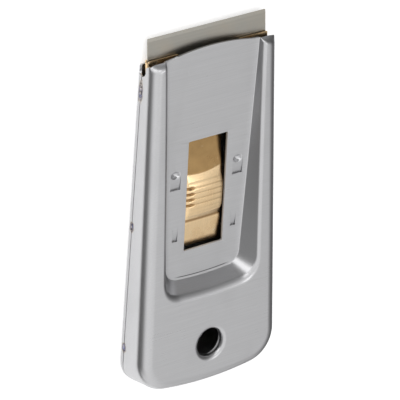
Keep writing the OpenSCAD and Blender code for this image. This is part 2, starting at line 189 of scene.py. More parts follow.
CAP_Y = [ROLL_Y + ROLL_R * math.sin(a) for a in steps(math.pi / 2, 0, 8)]
NOTCH_R = NOTCH_W / 2
NOTCH_MID_Y = SHOULDER_Y - NOTCH_LEN + NOTCH_R
NOTCH_YS = [NOTCH_MID_Y - NOTCH_R * math.sin(a) for a in steps(0, math.pi / 2, 8)]
# Places along the side: the rolled end, the notch, and the straight run down to the bottom corner
LEAST_STEP = 0.05
SIDE_YS = CAP_Y + [y for y in NOTCH_YS if y < CAP_Y[-1] - LEAST_STEP]
SIDE_YS += steps(NOTCH_YS[-1] - 2, 2, 14)


def outline(inset, corner_r):
    """The body's outline in plan, set in by inset, from the right shoulder round to the left one."""
    middle = corner_middle(corner_r)
    start = -math.atan(SIDE_SLOPE)
    end = math.atan2(middle.y - ARCH_MID_Y, middle.x)
    right = [Vector((half_width(y) - inset * SIDE_STRETCH, y)) for y in SIDE_YS]
    right += [middle + (corner_r - inset) * Vector((math.cos(a), math.sin(a)))
              for a in steps(start, end, 18)]
    right += [Vector((0, ARCH_MID_Y)) + (ARCH_R - inset) * Vector((math.cos(a), math.sin(a)))
              for a in steps(end, -math.pi / 2, 14)[1:]]
    return mirrored(right)


def pocket_stations():
    """Floor point, rim point and outward normal in plan, all round the pocket from right to left."""
    floor_y = FLOOR_END_Y + FLOOR_CORNER_R
    rim_end = FLOOR_END_Y - BOTTOM_WALL_RUN
    rim_y = rim_end + RIM_CORNER_R
    far_y = TONGUE_Y + 1
    spread = (FLOOR_W_MOUTH - FLOOR_W_BOTTOM) / 2 / (far_y - floor_y)
    right = []
    for y in CAP_Y + steps(CAP_Y[-1] - 2, floor_y + 1, 14):
        turn = math.atan(spread) * unit((ROLL_Y - y) / SIDE_TURN_RUN)
        side_normal = Vector((math.cos(turn), -math.sin(turn)))
        share = (SHOULDER_Y - y) / (SHOULDER_Y - floor_y)
        floor = Vector((FLOOR_W_BOTTOM / 2 + spread * (y - floor_y), y))
        rim = Vector((RIM_W / 2, SHOULDER_Y - share * (SHOULDER_Y - rim_y)))
        right.append((floor, rim, side_normal))
    floor_mid = Vector((FLOOR_W_BOTTOM / 2 - FLOOR_CORNER_R, floor_y))
    rim_mid = Vector((RIM_W / 2 - RIM_CORNER_R, rim_y))
    for a in steps(-math.atan(spread), BOTTOM_BOW - math.pi / 2, 16):
        normal = Vector((math.cos(a), math.sin(a)))
        right.append((floor_mid + FLOOR_CORNER_R * normal, rim_mid + RIM_CORNER_R * normal, normal))
    floor, rim, last = right[-1]
    for bow in steps(BOTTOM_BOW, 0, 8)[1:]:
        normal = Vector((math.sin(bow), -math.cos(bow)))
        turn = (normal - last) / math.sin(BOTTOM_BOW)
        right.append((floor + floor.x * turn, rim + rim.x * turn, normal))
    return right + [tuple(Vector((-p.x, p.y)) for p in s) for s in reversed(right[:-1])]


def fillet(corner, before, after, r, count):
    """Arc of radius r that rounds the corner between the directions before (in) and after (out)."""
    turn = before.angle_signed(after)
    reach = r * math.tan(abs(turn) / 2)
    start = corner - before * reach
    side = Vector((before.y, -before.x)) * (1 if turn > 0 else -1)
    middle = start + side * r
    return [middle + Matrix.Rotation(-a, 2) @ (start - middle) for a in steps(0, turn, count)]


def pocket_rings():
    """Rings of the pocket from the dished edge of its floor up the wall and over the rim's fillet."""
    columns = []
    for floor, rim, normal in pocket_stations():
        tangent = Vector((-normal.y, normal.x))
        reach = (rim - floor).dot(normal)
        drift = (rim - floor).dot(tangent)
        rise = face_z(rim.y) - FLOOR_Z
        wall = Vector((reach, rise - DISH_RISE)).normalized()
        face = Vector((1, FACE_SLOPE * normal.y)).normalized()
        foot = fillet(Vector((0, DISH_RISE)), Vector((DISH_W, 2 * DISH_RISE)).normalized(), wall,
                      FLOOR_FILLET_R, 3)
        dish = [Vector((-DISH_W * (1 - t), DISH_RISE * t * t))
                for t in steps(0, 1 + (foot[0].x - FACE_STRIP) / DISH_W, 6)]
        room = half_width(rim.y) - edge_r(rim.y) * SIDE_STRETCH - abs(rim.x) - FACE_STRIP
        room = min(room, math.hypot(reach, rise - DISH_RISE) - FLOOR_FILLET_R - FACE_STRIP)
        rim_r = RIM_FILLET_R + (BOTTOM_FILLET_R - RIM_FILLET_R) * eased(-normal.y)
        rim_r = min(rim_r, room / math.tan(abs(wall.angle_signed(face)) / 2))
        top = fillet(Vector((reach, rise)), wall, face, rim_r, 12)
        column = []
        for p in dish + foot + top:
            share = unit(p.x / reach)
            at = floor + normal * p.x + tangent * drift * share
            column.append(Vector((at.x, at.y, FLOOR_Z + p.y)))
        columns.append(column)
    return [list(ring) for ring in zip(*columns)]


# Mesh helpers

# Points this close are welded, and edges shorter than the second length are dropped
WELD_DIST = 2e-3
SLIVER = 1e-4
# Least lean of a face off its point's normal that the sheet's thickness makes up for
LEAST_LEAN = 0.75
SHARP_ANGLE = math.radians(55)
# Radius of the rounded cut edges of the steel and the brass sheet
STEEL_CUT_R = 0.07
BRASS_CUT_R = 0.06


def loft(bm, rings, closed=False):
    """Quads between rings of the same number of points."""
    rows = [[bm.verts.new(p) for p in ring] for ring in rings]
    for a, b in zip(rows, rows[1:]):
        last = len(a) if closed else len(a) - 1
        for i in range(last):
            j = (i + 1) % len(a)
            bm.faces.new((a[i], a[j], b[j], b[i]))
    return rows


def inside(point, loops):
    """True if a point in plan lies inside an odd number of the loops."""
    odd = False
    for loop in loops:
        for a, b in zip(loop, loop[1:] + loop[:1]):
            if (a[1] > point[1]) != (b[1] > point[1]):
                if point[0] < a[0] + (b[0] - a[0]) * (point[1] - a[1]) / (b[1] - a[1]):
                    odd = not odd
    return odd


def fill(bm, loops, height):
    """A flat patch between loops in plan, lifted to height(x, y)."""
    points = [Vector(p[:2]) for loop in loops for p in loop]
    edges = []
    start = 0
    for loop in loops:
        count = len(loop)
        edges += [(start + i, start + (i + 1) % count) for i in range(count)]
        start += count
    points, _, faces = delaunay_2d_cdt(points, edges, [], 0, 1e-6)[:3]
    plan = [[(p[0], p[1]) for p in loop] for loop in loops]
    verts = [bm.verts.new((p.x, p.y, height(p.x, p.y))) for p in points]
    for face in faces:
        middle = sum((points[i] for i in face), Vector((0, 0))) / len(face)
        if inside(middle, plan):
            bm.faces.new([verts[i] for i in face])
    bmesh.ops.delete(bm, geom=[v for v in verts if not v.link_faces], context="VERTS")


def circle(r):
    """A circle in plan round the axis of the hang hole."""
    turns = [2 * math.pi * i / HOLE_SEGMENTS for i in range(HOLE_SEGMENTS)]
    return [(r * math.cos(a), r * math.sin(a)) for a in turns]


def rounded_box(x0, y0, x1, y1, r):
    """Corners of a box in plan, rounded by r, anticlockwise."""
    points = []
    for cx, cy, start in ((x1 - r, y1 - r, 0), (x0 + r, y1 - r, 90),
                          (x0 + r, y0 + r, 180), (x1 - r, y0 + r, 270)):
        points += [(cx + r * math.cos(math.radians(a)), cy + r * math.sin(math.radians(a)))
                   for a in steps(start, start + 90, 4)]
    return points


def finish_mesh(bm):
    """Welds the patches together and turns every face the same way."""
    bmesh.ops.remove_doubles(bm, verts=bm.verts, dist=WELD_DIST)
    bmesh.ops.dissolve_degenerate(bm, edges=bm.edges, dist=SLIVER)
    bmesh.ops.recalc_face_normals(bm, faces=bm.faces)


def new_object(name, bm):
    """An object with the mesh, turned from millimetres into metres."""
    mesh = bpy.data.meshes.new(name)
    bmesh.ops.scale(bm, vec=(MM, MM, MM), verts=bm.verts)
    bm.to_mesh(mesh)
    bm.free()
    mesh.shade_smooth()
    obj = bpy.data.objects.new(name, mesh)
    bpy.context.scene.collection.objects.link(obj)
    return obj


def apply_modifiers(obj):
    """Bakes the modifiers into the mesh, so that the piece is a plain mesh."""
    bpy.context.view_layer.update()
    graph = bpy.context.evaluated_depsgraph_get()
    mesh = bpy.data.meshes.new_from_object(obj.evaluated_get(graph))
    obj.modifiers.clear()
    obj.data = mesh


def thicken(obj, sheet, cut_r, crisp=None):
    """Gives a skin its thickness on the inner side, and rounds its cut edges where they aren't crisp."""
    bm = bmesh.new()
    bm.from_mesh(obj.data)
    bm.normal_update()
    faces = bm.faces[:]
    rim = [e for e in bm.edges if e.is_boundary]
    inner = {}
    for v in bm.verts[:]:
        lean = min(v.normal.dot(f.normal) for f in v.link_faces)
        inner[v] = bm.verts.new(v.co - v.normal * sheet * MM / max(lean, LEAST_LEAN))
    for face in faces:
        bm.faces.new([inner[v] for v in reversed(face.verts)])
    for edge in rim:
        loop = edge.link_loops[0]
        a = loop.vert
        b = loop.link_loop_next.vert
        bm.faces.new((b, a, inner[a], inner[b]))
    for face in bm.faces:
        face.smooth = True
    if crisp:
        rim = [e for e in rim if not crisp((e.verts[0].co + e.verts[1].co) / 2 / MM)]
    bmesh.ops.bevel(bm, geom=rim, offset=cut_r * MM, offset_type="OFFSET", segments=2, profile=0.5,
                    affect="EDGES", clamp_overlap=False, loop_slide=False)
    bmesh.ops.delete(bm, geom=[e for e in bm.edges if not e.link_faces], context="EDGES")
    for edge in bm.edges:
        if len(edge.link_faces) == 2 and edge.calc_face_angle() > SHARP_ANGLE:
            edge.smooth = False
    bm.to_mesh(obj.data)
    bm.free()
    normals = obj.modifiers.new("flat faces stay flat", "WEIGHTED_NORMAL")
    normals.keep_sharp = True
    apply_modifiers(obj)


# Front shell

def tongue_y(x):
    """The panel's arched edge, and beside it the line of the nose."""
    if abs(x) > NOSE_LINE[0][0]:
        return along_line(NOSE_LINE, abs(x))
    return TONGUE_Y - TONGUE_ARC_R + math.sqrt(TONGUE_ARC_R ** 2 - x * x)


def nose(p):
    """Bends the shell's mouth end: the shoulders roll down to the panel, which runs on to its arc."""
    along = unit((p.y - ROLL_Y) / ROLL_R)
    full = eased((p.z - NOSE_LOW_Z) / (NOSE_HIGH_Z - NOSE_LOW_Z))
    low_end = SHOULDER_Y - NOSE_BACK
    end = low_end + full * (along_line(NOSE_LINE, abs(p.x)) - low_end)
    above = max(p.z - FLOOR_Z - DISH_RISE, 0)
    outer = unit((abs(p.x) - NOSE_IN_X) / (NOSE_OUT_X - NOSE_IN_X))
    late = NOSE_LATE * (1 - outer)
    sink = max((along - late) / (1 - late), 0) ** NOSE_SINK_POWER
    drop = above * (NOSE_DROP_IN + (NOSE_DROP_OUT - NOSE_DROP_IN) * outer) * sink
    return Vector((p.x, ROLL_Y + along * (end - ROLL_Y), p.z - drop))


def half_gap(y):
    """Half the gap between the two shells' edges: the seam's, and the notch's at the mouth."""
    if y < NOTCH_MID_Y - NOTCH_R:
        return SEAM_GAP / 2
    if y > NOTCH_MID_Y:
        return NOTCH_R
    return max(math.sqrt(max(NOTCH_R ** 2 - (NOTCH_MID_Y - y) ** 2, 0)), SEAM_GAP / 2)


def side_rings():
    """Rings from the front shell's seam edge up the side and round the rolled edge to the face."""
    low = outline(0, CORNER_R_REAR)
    high = outline(0, CORNER_R_FRONT)
    rings = []
    for share in steps(0, 1, 4):
        ring = []
        for a, b in zip(low, high):
            p = a.lerp(b, share)
            bottom = SEAM_Z + half_gap(p.y)
            top = face_z(p.y) - edge_r(p.y)
            ring.append(Vector((p.x, p.y, bottom + (top - bottom) * share)))
        rings.append(ring)
    for turn in steps(0, math.pi / 2, 12)[1:]:
        ring = []
        for p, step in zip(high, outline(1, CORNER_R_FRONT)):
            r = edge_r(p.y)
            at = p + (step - p) * r * (1 - math.cos(turn))
            ring.append(Vector((at.x, at.y, face_z(at.y) - r * (1 - math.sin(turn)))))
        rings.append(ring)
    return rings


def add_collar(bm, mouth_z, down):
    """A drawn collar: from the mouth's circle round its roll and along the hole. down is -1 or 1."""
    rings = []
    for a in steps(0, math.pi / 2, 8):
        r = HOLE_R + COLLAR_ROLL_R * (1 - math.sin(a))
        z = COLLAR_ROLL_R * (1 - math.cos(a))
        rings.append((r, z))
    rings.append((HOLE_R, COLLAR_DEPTH))
    loft(bm, [[Vector((x, y, mouth_z(x, y) + down * z)) for x, y in circle(r)]
              for r, z in rings], closed=True)


def tab_xs(tab):
    """Places across a tab, from its inner to its outer side."""
    span = tab["span"]
    width = tab["w"]
    return steps((span - width) / 2, (span + width) / 2, int(width / TAB_CELL))


def tab_hole(tab):
    """The cut round a tab: closed at the hinge, and widest at the free end."""
    xs = tab_xs(tab)
    low = tab["y"] - TAB_GAP
    top = [xs[-1] + SLIT_END] + xs[::-1] + [xs[0] - SLIT_END]
    return ([(xs[0] - TAB_GAP, low), (xs[-1] + TAB_GAP, low)]
            + [(x, tab["y"] + tab["len"]) for x in top])


def add_tab(bm, tab, side):
    """A lanced strip, hinged at its blade end, with a pressed dimple where it has one."""
    hinge_y = tab["y"] + tab["len"]
    dimple_y = hinge_y - DIMPLE_LEN - DIMPLE_BACK
    rings = []
    for y in steps(hinge_y, tab["y"], int(tab["len"] / TAB_CELL)):
        ring = []
        for x in tab_xs(tab):
            z = FLOOR_Z - tab["drop"] * ((hinge_y - y) / tab["len"]) ** TAB_BEND_POWER
            far = math.hypot((x - tab["span"] / 2) / DIMPLE_W, (y - dimple_y) / DIMPLE_LEN)
            z -= tab["dimple"] * max(1 - far * far, 0) ** DIMPLE_POWER
            ring.append(Vector((side * x, y, z)))
        rings.append(ring)
    loft(bm, rings)


def on_tab(p):
    """True round the tabs, whose sheared edges stay sharp."""
    x0, x1, y0, y1, low = TAB_ZONE
    return x0 < abs(p.x) < x1 and y0 < p.y < y1 and p.z > low


def front_shell():
    """The deep shell: sides, pocket, face, collar, and the panel with its window and tabs."""
    bm = bmesh.new()
    sides = side_rings()
    loft(bm, sides)
    pocket = pocket_rings()
    loft(bm, pocket)
    rim = pocket[-1]
    face_loop = sides[-1] + list(reversed(rim))
    hole = circle(HOLE_R + COLLAR_ROLL_R)
    fill(bm, [[tuple(p[:2]) for p in face_loop], hole], lambda x, y: face_z(y))
    add_collar(bm, lambda x, y: face_z(y), -1)

    floor = pocket[0]
    half = floor[0].x
    tongue = [(x, tongue_y(x)) for x in steps(-half, half, 40)[1:-1]]
    loops = [[tuple(p[:2]) for p in floor] + tongue]
    loops.append(rounded_box(-WINDOW_W / 2, WINDOW_Y, WINDOW_W / 2, WINDOW_Y + WINDOW_LEN,
                             WINDOW_CORNER_R))
    for tab in (UPPER_TAB, LOWER_TAB):
        hole = tab_hole(tab)
        loops.append(hole)
        loops.append([(-x, y) for x, y in hole])
    fill(bm, loops, lambda x, y: FLOOR_Z)
    for tab in (UPPER_TAB, LOWER_TAB):
        for side in (-1, 1):
            add_tab(bm, tab, side)
    for v in bm.verts:
        if ROLL_Y < v.co.y < SHOULDER_Y + NOSE_MARGIN and abs(v.co.x) > half - NOSE_MARGIN:
            v.co = nose(v.co)
    finish_mesh(bm)
    obj = new_object("front_shell_skin", bm)
    thicken(obj, SHEET, STEEL_CUT_R, on_tab)
    return obj


# Rear shell

def rear_rings():
    """Rings from the flat rear face round the bent edge and up to the seam."""
    columns = []
    arc_len = EDGE_R_REAR * math.pi / 2
    inner = outline(EDGE_R_REAR, CORNER_R_REAR)
    outer = outline(0, CORNER_R_REAR)
    for a, b in zip(inner, outer):
        top = SEAM_Z - half_gap(b.y)
        if top > EDGE_R_REAR:
            whole = arc_len + top - EDGE_R_REAR
        else:
            whole = EDGE_R_REAR * math.acos(1 - top / EDGE_R_REAR)
        column = []
        for along in steps(0, whole, 10):
            turn = min(along, arc_len) / EDGE_R_REAR
            z = EDGE_R_REAR * (1 - math.cos(turn)) + max(along - arc_len, 0)
            p = a.lerp(b, math.sin(turn))
            column.append(Vector((p.x, p.y, z)))
        columns.append(column)
    return [list(ring) for ring in zip(*columns)]


def rear_shell():
    """The shallow tray with its collar, cut off square at the mouth with rounded corners."""
    bm = bmesh.new()
    rings = rear_rings()
    loft(bm, rings)
    hole = circle(HOLE_R + COLLAR_ROLL_R)
    fill(bm, [[tuple(p[:2]) for p in rings[0]], hole], lambda x, y: 0)
    add_collar(bm, lambda x, y: 0, 1)
    geom = bm.verts[:] + bm.edges[:] + bm.faces[:]
    bmesh.ops.bisect_plane(bm, geom=geom, plane_co=(0, REAR_EDGE_Y, 0), plane_no=(0, 1, 0),
                           dist=SLIVER, clear_outer=True)
    reach = 2 * REAR_END_R
    for v in bm.verts:
        over = max(abs(v.co.x) - half_width(REAR_EDGE_Y) + REAR_END_R, 0)
        drop = REAR_END_R - math.sqrt(max(REAR_END_R ** 2 - over ** 2, 0))
        v.co.y -= drop * unit((v.co.y - REAR_EDGE_Y + reach) / reach)
    finish_mesh(bm)
    obj = new_object("rear_shell_skin", bm)
    thicken(obj, SHEET, STEEL_CUT_R)
    return obj


# Tack welds: low irregular beads of melted steel along the seam

# Middle and length of each tack along the body
TACKS = ((76.0, 6.5), (37.0, 2.4), (1.0, 1.8))
TACK_W = 1.0
TACK_LEAST_W = 0.04
TACK_H = 0.16
TACK_DEPTH = 0.3
TACK_SUNK = 0.02
# The bead's height at its lowest as a share of its full height, and how fast it rises and falls
BEAD_LEAST = 0.55
BEAD_RATE = 2.6
# Height of the long and of the short waves in the bead's edges, and their rates along it
LONG_WAVE, LONG_WAVE_RATE = 0.12, 9 / 2.6
SHORT_WAVE, SHORT_WAVE_RATE = 0.05, 23


def tack_welds(side, name):
    """The tacks of one side: lens-shaped beads with wavy edges, closed on their inner side."""
    bm = bmesh.new()
    for index, (mid_y, length) in enumerate(TACKS):
        rings = []
        for u in steps(-1, 1, 40):
            wave = LONG_WAVE * math.sin(LONG_WAVE_RATE * u * length + index)
            wave += SHORT_WAVE * math.sin(SHORT_WAVE_RATE * u + 2 * index)
            width = max(TACK_W / 2 * (1 + wave) * math.sqrt(max(1 - u ** 4, 0)), TACK_LEAST_W)
            y = mid_y + u * length / 2
            bead = abs(math.sin(BEAD_RATE * u * length / 2 + index))
            full = TACK_H * (BEAD_LEAST + (1 - BEAD_LEAST) * bead)
            section = [(half_width(y) - TACK_SUNK + full * (1 - v ** 4) * (1 - u ** 6), v)
                       for v in steps(-1, 1, 14)]
            section += [(half_width(y) - TACK_DEPTH, v) for v in (1, -1)]
            rings.append([Vector((side * x, y, SEAM_Z + v * width)) for x, v in section])
        rows = loft(bm, rings, closed=True)
        bm.faces.new(rows[0])
        bm.faces.new(rows[-1])
    finish_mesh(bm)
    return new_object(name, bm)


# Blade carrier and thumb leaf

BLADE_W = 38.1
BLADE_H = 19.0
BLADE_T = 0.23
SPINE_SHEET = 0.33
EDGE_Y = 90.5
EDGE_Z = 1.66
PITCH = math.radians(4.75)
BRASS = 0.35
SEAT_CLEAR = 0.08
BLADE_REACH = 6.0
LIP_W = 9.6
CARRIER_CORNER_R = 0.6
SEAT_HALF_T = BLADE_T / 2 + SPINE_SHEET + SEAT_CLEAR
CARRIER_HALF_W = BLADE_W / 2 + SEAT_CLEAR + BRASS
CARRIER_REAR = -BLADE_H - SEAT_CLEAR - BRASS
FOLD_R = 0.3
PLATE_REAR_Y = EDGE_Y + CARRIER_REAR * math.cos(PITCH) - (SEAT_HALF_T + BRASS) * math.sin(PITCH)
PLATE_TOP_Z = EDGE_Z - CARRIER_REAR * math.sin(PITCH) - SEAT_HALF_T * math.cos(PITCH)
ARM_W = 4.6
ARM_FOOT_Y = 20.25
ARM_FOOT_Z = 4.1
ARM_SLOT_W = 2.9
ARM_SLOT_Y = (38.75, 60.15)
# A hair less than half the slot's width, so that its ends keep a short flat
ARM_SLOT_R = ARM_SLOT_W / 2 - 0.01
ARM_OVERLAP = 0.2


def blade_frame(x, along, out):
    """A point of the blade's own frame: along runs up to the cutting edge, out is its front side."""
    return Vector((x, EDGE_Y + along * math.cos(PITCH) + out * math.sin(PITCH),
                   EDGE_Z - along * math.sin(PITCH) + out * math.cos(PITCH)))


def saddle_section():
    """Right half of the carrier's section across: plate, side wall and lip, as its outer line."""
    low = -SEAT_HALF_T - BRASS
    top = SEAT_HALF_T + BRASS
    outer = CARRIER_HALF_W
    fold = FOLD_R + BRASS
    points = [(0, low)]
    points += [(outer - fold + fold * math.sin(a), low + fold - fold * math.cos(a))
               for a in steps(0, math.pi / 2, 6)]
    points += [(outer - fold + fold * math.cos(a), top - fold + fold * math.sin(a))
               for a in steps(0, math.pi / 2, 6)]
    points.append((CARRIER_HALF_W - LIP_W, top))
    return points


def front_limit(x):
    """How far up the carrier reaches at x: square, with its corners rounded."""
    inner = CARRIER_HALF_W - CARRIER_CORNER_R
    over = max(abs(x) - inner, 0)
    return -BLADE_REACH - CARRIER_CORNER_R + math.sqrt(max(CARRIER_CORNER_R ** 2 - over ** 2, 0))


def carrier():
    """The folded saddle round the blade, with its two slotted arms and their turned-up feet."""
    bm = bmesh.new()
    right = saddle_section()
    section = [(-x, z) for x, z in reversed(right[1:])] + right
    rows = []
    for share in steps(0, 1, 24):
        row = []
        for x, out in section:
            top = front_limit(x)
            along = CARRIER_REAR + (top - CARRIER_REAR) * (1 - (1 - share) ** 2)
            row.append(blade_frame(x, along, out))
        rows.append(row)
    loft(bm, rows)
    for side in (-1, 1):
        mid = side * UPPER_TAB["span"] / 2
        x0, x1 = mid - ARM_W / 2, mid + ARM_W / 2
        y1 = PLATE_REAR_Y + ARM_OVERLAP
        loops = [[(x0, ARM_FOOT_Y), (x1, ARM_FOOT_Y), (x1, y1), (x0, y1)],
                 rounded_box(mid - ARM_SLOT_W / 2, ARM_SLOT_Y[0], mid + ARM_SLOT_W / 2, ARM_SLOT_Y[1],
                             ARM_SLOT_R)]
        fill(bm, loops, lambda x, y: PLATE_TOP_Z - BRASS)
        loft(bm, [[Vector((x, ARM_FOOT_Y, z)) for x in (x0, x1)]
                  for z in (PLATE_TOP_Z - BRASS, ARM_FOOT_Z)])
    finish_mesh(bm)
    obj = new_object("blade_carrier_sheet", bm)
    thicken(obj, BRASS, BRASS_CUT_R)
    return obj


LEAF_HALF_W = 6.0
LEAF_ROOT_GAP = 0.06
LEAF_ROOT_Y = PLATE_REAR_Y - LEAF_ROOT_GAP - BRASS / 2
LEAF_LINE = [(27.3, 2.95), (34.5, 3.8), (35.1, 3.78), (35.7, 4.05), (37.2, 4.74), (38.2, 4.89),
             (41.0, 4.95), (44.0, 4.9), (44.9, 4.74), (48.6, 3.62), (53.0, 2.81), (57.6, 2.3),
             (61.0, 2.08), (65.0, 2.12), (LEAF_ROOT_Y, PLATE_TOP_Z)]
RIDGE_MID_Y = 42.55
RIDGE_PITCH = 1.6
RIDGE_COUNT = 5
RIDGE_H = 0.08
RIDGE_POWER = 2.4
DENT_D = 0.3
DENT_R = 0.42
DENT_X = 3.3
DENT_RUN = 1.2
BUMP_FOOT_Y = 35.15
# The bump sets in at the first y over the run beside it, and ends at the second y over its run
BUMP_START_Y, BUMP_START_RUN = 34, 2.5
BUMP_END_Y, BUMP_END_RUN = 50, 4
BUMP_SPREAD = 0.02
# The part with the bump has a finer mesh
FINE_FROM_Y = 33
FINE_TO_Y = 49.5
LEAF_EASE = 0.45
LEAF_CROWN = 0.22
LEAF_SIDE_W = 1.2
LEAF_SIDE_DROP = 0.4


def leaf_top(y):
    """Height of the leaf's top face along the body, without its ridges, its corners slightly eased."""
    near = [min(max(y + LEAF_EASE * i / 3, LEAF_LINE[0][0]), LEAF_ROOT_Y) for i in range(-3, 4)]
    return sum(along_line(LEAF_LINE, place) for place in near) / len(near)


def grip(x, y):
    """Height that the grip ridges add, with a dent at the left end of each groove."""
    rise = 0
    for i in range(RIDGE_COUNT):
        off = abs(y - RIDGE_MID_Y - (i - (RIDGE_COUNT - 1) / 2) * RIDGE_PITCH) / (RIDGE_PITCH / 2)
        rise = max(rise, RIDGE_H * max(1 - off ** RIDGE_POWER, 0))
    for i in range(RIDGE_COUNT - 1):
        off = (y - RIDGE_MID_Y - (i - (RIDGE_COUNT - 2) / 2) * RIDGE_PITCH) / DENT_R
        dent = eased((-x - DENT_X) / DENT_RUN)
        rise -= DENT_D * dent * math.exp(-off * off)
    return rise


def thumb_leaf():
    """The bowed leaf with its ridged thumb bump, which is crowned and drops at its sides."""
    bm = bmesh.new()
    rows = []
    ys = steps(LEAF_LINE[0][0], FINE_FROM_Y, 12)
    ys += steps(FINE_FROM_Y, FINE_TO_Y, 190)[1:]
    ys += steps(FINE_TO_Y, LEAF_ROOT_Y, 44)[1:]
    for y in ys:
        row = []
        bump = eased((y - BUMP_START_Y) / BUMP_START_RUN) * eased((BUMP_END_Y - y) / BUMP_END_RUN)
        for x in steps(-LEAF_HALF_W, LEAF_HALF_W, 36):
            side = max(abs(x) - LEAF_HALF_W + LEAF_SIDE_W, 0) / LEAF_SIDE_W
            drop = LEAF_CROWN * (x / LEAF_HALF_W) ** 2 + LEAF_SIDE_DROP * side ** 2.5
            z = leaf_top(y) + grip(x, y) * (1 - side ** 4) - drop * bump
            row.append(Vector((x * (1 + BUMP_SPREAD * bump), y, z)))
        rows.append(row)
    loft(bm, rows)
    finish_mesh(bm)
    for face in bm.faces:
        if face.normal.z < 0:
            face.normal_flip()
    obj = new_object("thumb_leaf_sheet", bm)
    thicken(obj, BRASS, BRASS_CUT_R)
    return obj


# Materials

STEEL = (0.60, 0.60, 0.61)
SPINE_STEEL = (0.6, 0.61, 0.62)
BLADE_COLOUR = (0.42, 0.405, 0.365)
BLADE_STAIN = (0.47, 0.42, 0.345)
BRASS_COLOUR = (0.96, 0.71, 0.42)
BRASS_STAIN = (0.74, 0.47, 0.22)
BRASS_SCRATCH = (0.98, 0.86, 0.62)
# Browns painted on the leaf's upper ramp as a dark reflection
RAMP_PAINTED_REFLECTION = ((0.47, 0.30, 0.13), (0.38, 0.235, 0.10))
# Dark brown painted on the leaf: along its grooves, as painted shade at the bump's foot, and as a
# painted dark reflection on its right edge
GROOVE_DARK_AND_PAINTED_SHADE = (0.30, 0.155, 0.05)
TACK_PIT = (0.05, 0.04, 0.035)
TACK_BRIGHT = (0.58, 0.54, 0.52)
TACK_BLUE = (0.20, 0.23, 0.45)
# How far the brushing draws the shells' reflections out across its lines
SHELL_ANISOTROPY = 0.45
BRUSHED_ROUGHNESS = 0.3


class Graph:
    """The node tree of a material or a world, with short calls that add and link its nodes."""

    def __init__(self, owner):
        owner.use_nodes = True
        self.nodes = owner.node_tree.nodes
        self.links = owner.node_tree.links
        self.coords = self.nodes.new("ShaderNodeTexCoord").outputs

    def node(self, kind, inputs=None, **settings):
        node = self.nodes.new(kind)
        for key, value in settings.items():
            setattr(node, key, value)
        for key, value in (inputs or {}).items():
            if isinstance(value, bpy.types.NodeSocket):
                self.links.new(value, node.inputs[key])
            else:
                node.inputs[key].default_value = value
        return node

    def split(self, vector):
        """The X, Y and Z of a vector."""
        return self.node("ShaderNodeSeparateXYZ", {"Vector": vector}).outputs

    def remap(self, value, low, high, to_low=0.0, to_high=1.0, smooth=False):
        kind = "SMOOTHSTEP" if smooth else "LINEAR"
        node = self.node("ShaderNodeMapRange", {"Value": value, "From Min": low, "From Max": high,
                                                "To Min": to_low, "To Max": to_high},
                         interpolation_type=kind)
        return node.outputs["Result"]

    def math(self, operation, a, b=0.0):
        return self.node("ShaderNodeMath", {0: a, 1: b}, operation=operation).outputs[0]

    def off(self, value, place):
        """How far value is from place, on either side."""
        return self.math("ABSOLUTE", self.math("SUBTRACT", value, place))

    def blend(self, share, a, b):
        """Colour a where share is 0 and colour b where it is 1."""
        node = self.nodes.new("ShaderNodeMix")
        node.data_type = "RGBA"
        for key, value in (("Factor", share), ("A", a), ("B", b)):
            socket = [i for i in node.inputs if i.name == key and i.enabled][0]
            if isinstance(value, bpy.types.NodeSocket):
                self.links.new(value, socket)
            elif key == "Factor":
                socket.default_value = value
            else:
                socket.default_value = (*value, 1)
        return [o for o in node.outputs if o.enabled][0]

    def ramp(self, value, stops):
        """Colours along value: stops are (place, colour)."""
        node = self.node("ShaderNodeValToRGB", {"Fac": value})
        elements = node.color_ramp.elements
        for element, (place, colour) in zip(elements, (stops[0], stops[-1])):
            element.position = place
            element.color = (*colour, 1)
        for place, colour in stops[1:-1]:
            elements.new(place).color = (*colour, 1)
        return node.outputs["Color"]


class Maker(Graph):
    """A new material."""

    def __init__(self, name):
        self.material = bpy.data.materials.new(name)
        super().__init__(self.material)
        self.bsdf = self.nodes["Principled BSDF"]
        self.place = self.coords["Object"]

    def noise(self, scale, detail):
        """Noise stretched by scale, in cells a metre along X, Y and Z."""
        spot = self.node("ShaderNodeMapping", {"Vector": self.place, "Scale": scale})
        return self.node("ShaderNodeTexNoise", {"Vector": spot.outputs["Vector"], "Scale": 1.0,
                                                "Detail": detail, "Roughness": 0.6}).outputs["Fac"]

    def bump(self, height, distance):
        """The normal over bumps that are distance millimetres high."""
        return self.node("ShaderNodeBump", {"Height": height, "Distance": distance * MM,
                                            "Strength": 1.0}).outputs["Normal"]

    def scratches(self, scale, width, share):
        """Thin curved scratches: 1 on a scratch, over about that share of the surface."""
        hills = self.noise(scale, 0.0)
        line = self.remap(self.off(hills, 0.5), width, 0.0)
        where = self.remap(self.noise((310, 270, 310), 1.0), 1 - share, 1.03 - share)
        return self.math("MULTIPLY", line, where)

    def finish(self, colour, roughness, normal, anisotropy=0.0):
        """Links up the metal's shader. Anisotropy draws its reflections out along Y."""
        self.links.new(colour, self.bsdf.inputs["Base Color"])
        self.links.new(roughness, self.bsdf.inputs["Roughness"])
        self.links.new(normal, self.bsdf.inputs["Normal"])
        self.bsdf.inputs["Metallic"].default_value = 1.0
        self.bsdf.inputs["Anisotropic"].default_value = anisotropy
        if anisotropy:
            tangent = self.node("ShaderNodeCombineXYZ", {"Y": 1.0}).outputs["Vector"]
            self.links.new(tangent, self.bsdf.inputs["Tangent"])
        return self.material


def scaled(colour, factor):
    """The colour, lighter or darker by factor."""
    return tuple(min(c * factor, 1) for c in colour)


